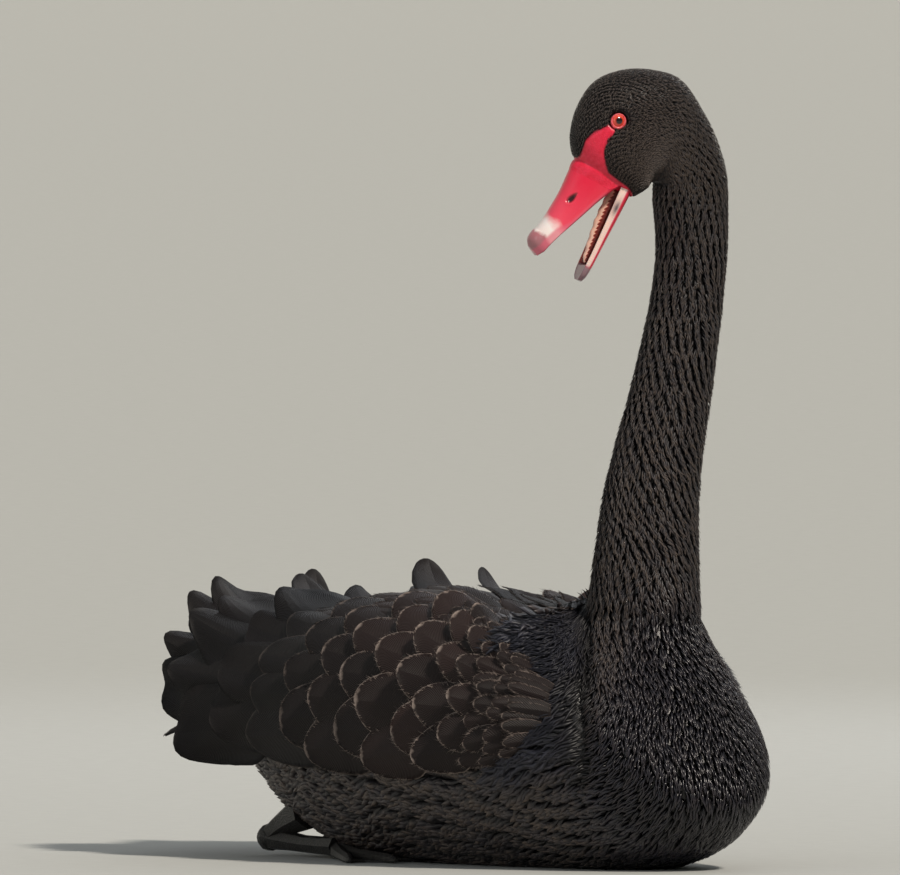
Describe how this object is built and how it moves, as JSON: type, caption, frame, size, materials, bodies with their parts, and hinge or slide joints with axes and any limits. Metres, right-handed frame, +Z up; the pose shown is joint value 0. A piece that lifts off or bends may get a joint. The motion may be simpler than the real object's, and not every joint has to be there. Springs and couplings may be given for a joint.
{
  "type": "black swan",
  "caption": "Life-size still model of a black swan as it floats: neck upright, head turned aside, red bill open, curled wing feathers, webbed feet tucked under a flat belly.",
  "frame": {"origin": "on the flat of the belly at floor level, below the back", "axes": "+X forward to the breast, +Y to the swan's left, +Z up"},
  "size_m": [0.6292, 0.2678, 0.5882],
  "materials": {
    "plumage": "soft black feathers with a slight sheen",
    "bill": "smooth crimson horn with a pale band and nail",
    "mouth": "moist pink flesh",
    "eye": "clear and wet, with a red iris",
    "leg_skin": "dull scaled skin"
  },
  "bodies": {
    "root": {"torso": "plumage", "neck_lower": "plumage", "neck_middle": "plumage", "neck_upper": "plumage", "head": "plumage", "wing_left": "plumage", "wing_right": "plumage", "tail": "plumage", "eye_left": "eye", "eye_right": "eye", "upper_bill": "bill", "lower_bill": "bill", "tongue": "mouth", "leg_left": "leg_skin", "leg_right": "leg_skin", "foot_left": "leg_skin", "foot_right": "leg_skin"}
  },
  "joints": []
}
